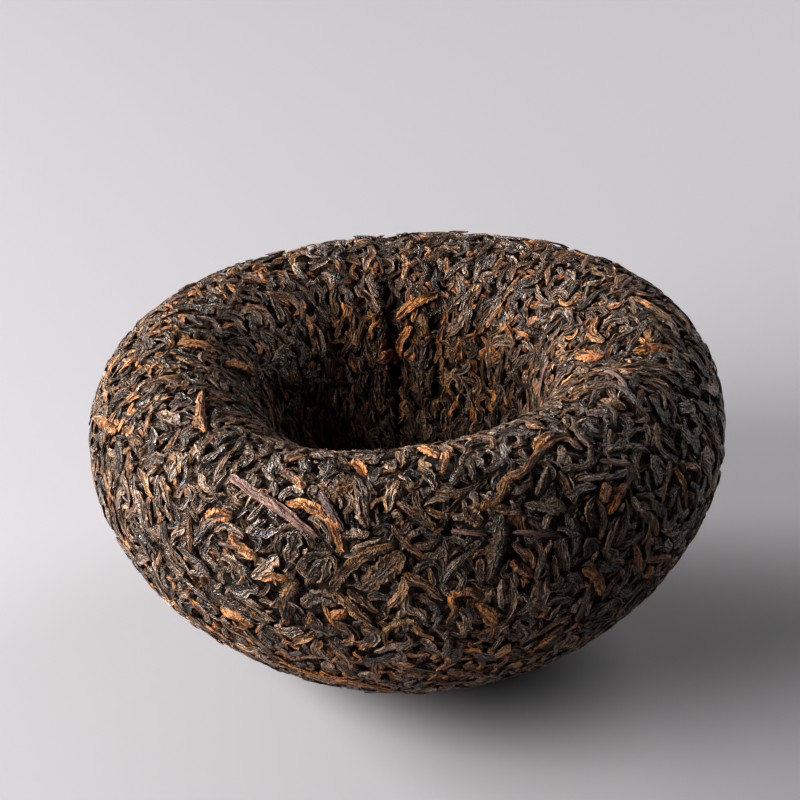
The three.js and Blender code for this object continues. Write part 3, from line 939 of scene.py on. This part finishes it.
def drawLeaves(kind, number, n, random):
    k = kinds[kind]
    between = lambda low, high: random.uniform(low, high, n)
    scattered = lambda key: random.normal(0, k[key], n)
    level = random.choice(len(tops), n, p=k["shares"])
    stand = np.array(tops)[level]
    size = random.beta(*anyLeaf["size"], n)
    (short, long), (slim, wide), bySize = k["length"], k["width"], anyLeaf["widthBySize"]
    return {
        "kind": np.full(n, number), "level": level, "golden": np.full(n, kind.startswith("golden")),
        "length": short + (long - short) * size,
        "width": slim + (wide - slim) * (bySize * size + (1 - bySize) * random.random(n)),
        "flat": between(*k["flat"]), "curl": scattered("curl"), "bend": scattered("bend"),
        "twist": scattered("twist"), "roll": scattered("roll"), "ridge": np.full(n, k["ridge"]),
        "phase": between(0, tau), "spiral": scattered("spiral"), "crumple": np.full(n, k["crumple"]),
        "rough": np.full(n, k["rough"]), "cup": scattered("cup"), "skew": between(*anyLeaf["skew"]),
        "blunt": between(*anyLeaf["blunt"]), "startWidth": between(*k["ends"]), "endWidth": between(*k["ends"]),
        "top": random.normal(stand[:, 0], stand[:, 1]),
        "press": random.normal(pressed["height"], pressed["scatter"], n),
        "tilt": random.normal(0, anyLeaf["tilt"], n), "arch": random.normal(*anyLeaf["arch"], n),
        "dive": between(*anyLeaf["dive"]), "tone": random.beta(*anyLeaf["tone"], n),
        "tipTone": between(0, 1) ** 2 * k["tipTone"] * 2,
        "patchX": between(*anyLeaf["patch"]), "patchY": between(*anyLeaf["patch"]), "order": random.random(n),
    }


# The form is counted in cells, taken or free, at each level. A leaf goes where it covers the fewest taken ones
cover = {
    "cell": 0.35, "spare": 1.05, "tries": 10, "across": (-0.4, -0.2, 0, 0.2, 0.4), "stations": 11,
    "hidden": (0, 0.5, 0.8),  # what a taken cell of a level above counts, for each level
    "large": 5.0, "largeWish": 0.2,  # leaves of more mm2 than this look for the loose part
}
coverRows = ceil(outline["length"] / cover["cell"]) + 1
coverColumns = ceil(tau * cake["beltRadius"] * cover["spare"] / cover["cell"]) + 1


def cellsOf(azimuth, climb):
    row = (climb * outline["length"] / cover["cell"]).astype(int)
    radius = alongOutline(row * cover["cell"] / outline["length"], "radius")
    around = np.maximum(tau * radius / cover["cell"], 1)
    return row * coverColumns + ((azimuth / 360 % 1) * around).astype(int)


def layNamedLeaf(leaf, number, taken, random):
    spec = drawLeaves(leaf["kind"], number, 1, random)
    point, out = lineOnCake(leaf["path"], named["rings"])
    tone, flat, top, ends = (leaf.get(key, named[key]) for key in ("tone", "flat", "top", "ends"))
    for key, value in {
        "width": leaf["width"], "flat": flat, "top": top, "press": top + named["rise"], "rough": named["rough"],
        "tone": tone, "startWidth": ends[0], "endWidth": ends[1], "tilt": 0.0, "roll": 0.0, "skew": 1.0,
        "length": np.linalg.norm(np.diff(point, axis=0), axis=1).sum(),
        "twist": spec["twist"][0] * named["twist"],
    }.items():
        spec[key] = np.array([value])
    side = unit(np.cross(out, np.gradient(point, axis=0)))
    for aside in cover["across"]:
        taken[:2].reshape(2, -1)[:, cellsOf(*placeOnForm(point + side * aside * leaf["width"]))] = 1
    return leafBodies(point[None], out[None], spec, namedTube, random)


# From this climb on more and more leaves lie up and down, up to a most, and in the hollow they stray less
inward = {"climb": 0.58, "reach": 0.14, "most": 0.88, "stray": 32, "hollow": 0.74, "hollowStray": 16}


def headingFor(climb, random):
    n = len(climb)
    free = random.uniform(0, 360, n)
    stray = np.where(climb > inward["hollow"], inward["hollowStray"], inward["stray"])
    upOrDown = 90 + random.normal(0, 1, n) * stray + 180 * (random.random(n) < 0.5)
    chance = np.clip((climb - inward["climb"]) / inward["reach"], 0, inward["most"])
    return np.where(random.random(n) < chance, upOrDown, free)


# Where golden leaves gather, and where fewer lie (more is negative)
goldPlaces = [
    {"azimuth": 75, "climb": 0.72, "spread": 80, "reach": 0.11, "more": 0.52},
    {"azimuth": -100, "climb": 0.33, "spread": 60, "reach": 0.1, "more": 0.55},
    {"azimuth": -45, "climb": 0.5, "spread": 22, "reach": 0.09, "more": -0.45},
    {"azimuth": -90, "climb": 0.55, "spread": 42, "reach": 0.09, "more": -0.5},
    {"azimuth": -160, "climb": 0.58, "spread": 30, "reach": 0.12, "more": 0.3},
    {"azimuth": 150, "climb": 0.6, "spread": 30, "reach": 0.1, "more": 0.4},
]


def goldWish(azimuth, climb):
    return sum(place["more"] * nearPlace(place, azimuth, climb) for place in goldPlaces)


def looseAt(climb):
    away = (climb - pressed["looseClimb"]) / pressed["looseReach"]
    return np.exp(-away * away)


def tryPlaces(leaf, random):
    tries = cover["tries"]
    azimuth = random.uniform(0, 360, tries)
    climb = climbAtShare(random.random(tries))
    heading = headingFor(climb, random)
    spec = {key: np.full((tries, 1), leaf[key]) for key in ("length", "curl", "bend")}
    spec["heading"] = heading[:, None]
    x, y, direction = localPath(spec, np.linspace(-0.5, 0.5, cover["stations"])[None, :])
    aside = np.array(cover["across"])[None, :, None] * leaf["width"]
    x = (x[:, None, :] - np.sin(direction)[:, None, :] * aside).reshape(tries, -1)
    y = (y[:, None, :] + np.cos(direction)[:, None, :] * aside).reshape(tries, -1)
    return azimuth, climb, heading, cellsOf(*walkOnForm(azimuth[:, None], climb[:, None], x, y))


def placeCost(leaf, azimuth, climb, cells, taken):
    level = leaf["level"]
    cost = taken[level].ravel()[cells].mean(1)
    for above in range(level):
        cost = cost + taken[above].ravel()[cells].mean(1) * cover["hidden"][level]
    if leaf["golden"]:
        cost = cost - goldWish(azimuth, climb)
    if leaf["length"] * leaf["width"] > cover["large"]:
        cost = cost - cover["largeWish"] * looseAt(climb)
    return cost


def placeLeaves(leaves, taken, random):
    found = np.zeros((3, len(leaves["kind"])))
    for i in np.lexsort((leaves["order"], -leaves["length"] * leaves["width"], leaves["level"])):
        leaf = {key: value[i] for key, value in leaves.items()}
        azimuth, climb, heading, cells = tryPlaces(leaf, random)
        best = placeCost(leaf, azimuth, climb, cells, taken).argmin()
        taken[leaf["level"]].ravel()[cells[best]] = 1
        found[:, i] = azimuth[best], climb[best], heading[best]
    leaves["azimuth"], leaves["climb"], leaves["heading"] = found


def loosen(leaves):
    loose = looseAt(leaves["climb"]) * pressed["loose"]
    tight = np.clip((leaves["climb"] - pressed["tightClimb"]) / pressed["tightReach"], 0, 1) * pressed["tight"]
    leaves["top"] = leaves["top"] * (1 + pressed["looseTop"] * loose - tight * (leaves["level"] == 0))
    leaves["press"] = leaves["press"] + loose * pressed["looseRise"] - tight * pressed["tightRise"]
    leaves["arch"], leaves["tilt"] = leaves["arch"] * (1 - tight), leaves["tilt"] * (1 - tight)


def layLeaves():
    random = np.random.default_rng(seed)
    names = list(kinds)
    drawn = [drawLeaves(name, number, kinds[name]["count"], random) for number, name in enumerate(names)]
    leaves = {key: np.concatenate([d[key] for d in drawn]) for key in drawn[0]}
    taken = np.zeros((len(tops), coverRows, coverColumns), np.uint8)
    standing = {name: [] for name in names}
    for leaf in namedLeaves.values():
        standing[leaf["kind"]].append(layNamedLeaf(leaf, names.index(leaf["kind"]), taken, random))
    placeLeaves(leaves, taken, random)
    loosen(leaves)
    print("leaves placed", len(leaves["kind"]))
    for number, name in enumerate(names):
        parts = standing[name]
        for level, tube in enumerate(kinds[name]["tubes"]):
            mine = (leaves["kind"] == number) & (leaves["level"] == level)
            spec = {key: value[mine] for key, value in leaves.items()}
            tube = makeTube(*tube)
            x, y, direction = localPath(column(spec), np.linspace(-0.5, 0.5, tube["rings"])[None, :])
            point, out = formFrame(*walkOnForm(spec["azimuth"][:, None], spec["climb"][:, None], x, y))
            parts.append(leafBodies(point, out, spec, tube, random))
        makePiece(name, parts, makeMaterial(name, partial(leafFinish, look=looks[name])))


layLeaves()
